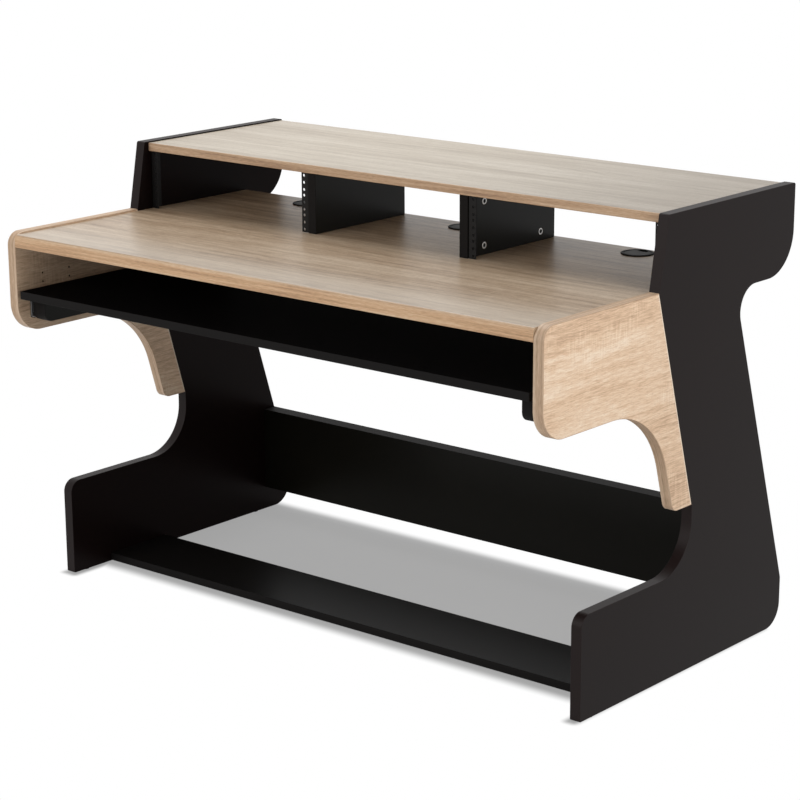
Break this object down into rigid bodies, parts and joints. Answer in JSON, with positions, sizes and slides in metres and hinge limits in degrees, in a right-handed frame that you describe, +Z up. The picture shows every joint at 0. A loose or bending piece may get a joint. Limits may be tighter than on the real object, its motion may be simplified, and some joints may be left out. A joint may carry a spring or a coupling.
{
  "type": "studio desk",
  "caption": "Studio desk with a wide worktop, raised shelf over punched rack bays, pull-out keyboard tray, foot board and Z-shaped side panels.",
  "frame": {"origin": "middle of the desk's footprint, on the floor", "axes": "+X along the desk's width, to the right of someone facing it; -Y towards that person; +Z up"},
  "size_m": [1.486, 0.878, 0.984],
  "materials": {
    "black_laminate": "matt melamine",
    "oak_laminate": "wood-grain melamine",
    "rail_paint": "satin powder coat",
    "slide_steel": "zinc plated",
    "cam_zinc": "die-cast zinc",
    "black_plastic": "satin",
    "grey_plastic": "satin"
  },
  "bodies": {
    "desk_frame": {"worktop": "oak_laminate", "top_shelf": "oak_laminate", "rear_panel": "black_laminate", "foot_board": "black_laminate", "side_panel_left": "black_laminate", "cheek_left": "oak_laminate", "divider_left": "black_laminate", "rack_rail_outer_left": "rail_paint", "rack_rail_inner_left": "rail_paint", "slide_outer_left": "slide_steel", "glide_left_front": "black_plastic", "glide_left_rear": "black_plastic", "side_panel_right": "black_laminate", "cheek_right": "oak_laminate", "divider_right": "black_laminate", "rack_rail_outer_right": "rail_paint", "rack_rail_inner_right": "rail_paint", "slide_outer_right": "slide_steel", "glide_right_front": "black_plastic", "glide_right_rear": "black_plastic", "cam_divider_left_front_lower": "cam_zinc", "cam_divider_left_front_upper": "cam_zinc", "cam_shelf_left_front": "cam_zinc", "cam_worktop_left_front": "cam_zinc", "cam_divider_left_rear_lower": "cam_zinc", "cam_divider_left_rear_upper": "cam_zinc", "cam_shelf_left_rear": "cam_zinc", "cam_worktop_left_rear": "cam_zinc", "cam_rear_panel_left_lower": "cam_zinc", "cam_rear_panel_left_upper": "cam_zinc", "cam_foot_board_left": "cam_zinc", "cam_divider_right_front_lower": "cam_zinc", "cam_divider_right_front_upper": "cam_zinc", "cam_shelf_right_front": "cam_zinc", "cam_worktop_right_front": "cam_zinc", "cam_divider_right_rear_lower": "cam_zinc", "cam_divider_right_rear_upper": "cam_zinc", "cam_shelf_right_rear": "cam_zinc", "cam_worktop_right_rear": "cam_zinc", "cam_rear_panel_right_lower": "cam_zinc", "cam_rear_panel_right_upper": "cam_zinc", "cam_foot_board_right": "cam_zinc", "grommet_ring_left": "black_plastic", "grommet_ring_centre": "black_plastic", "grommet_ring_right": "black_plastic"},
    "tray": {"keyboard_tray": "black_laminate", "tray_runner_left": "black_laminate", "slide_inner_left": "slide_steel", "tray_runner_right": "black_laminate", "slide_inner_right": "slide_steel", "cam_runner_left_front": "cam_zinc", "cam_runner_left_rear": "cam_zinc", "cam_runner_right_front": "cam_zinc", "cam_runner_right_rear": "cam_zinc"},
    "slide_member_left": {"slide_middle_left": "slide_steel"},
    "slide_member_right": {"slide_middle_right": "slide_steel"},
    "cap_left": {"grommet_cap_left": "grey_plastic"},
    "cap_centre": {"grommet_cap_centre": "grey_plastic"},
    "cap_right": {"grommet_cap_right": "grey_plastic"}
  },
  "joints": [
    {"name": "tray_slide", "type": "slide", "parent": "desk_frame", "child": "tray", "axis": [0, -1, 0], "range_m": [0, 0.3]},
    {"name": "slide_member_left_run", "type": "slide", "parent": "desk_frame", "child": "slide_member_left", "axis": [0, -1, 0], "range_m": [0, 0.15]},
    {"name": "slide_member_right_run", "type": "slide", "parent": "desk_frame", "child": "slide_member_right", "axis": [0, -1, 0], "range_m": [0, 0.15]},
    {"name": "cap_left_lift", "type": "slide", "parent": "desk_frame", "child": "cap_left", "axis": [0, 0, 1], "range_m": [0, 0.04]},
    {"name": "cap_centre_lift", "type": "slide", "parent": "desk_frame", "child": "cap_centre", "axis": [0, 0, 1], "range_m": [0, 0.04]},
    {"name": "cap_right_lift", "type": "slide", "parent": "desk_frame", "child": "cap_right", "axis": [0, 0, 1], "range_m": [0, 0.04]}
  ],
  "couplings": [
    {"joint": "slide_member_left_run", "follows": "tray_slide", "ratio": 0.5},
    {"joint": "slide_member_right_run", "follows": "tray_slide", "ratio": 0.5}
  ]
}
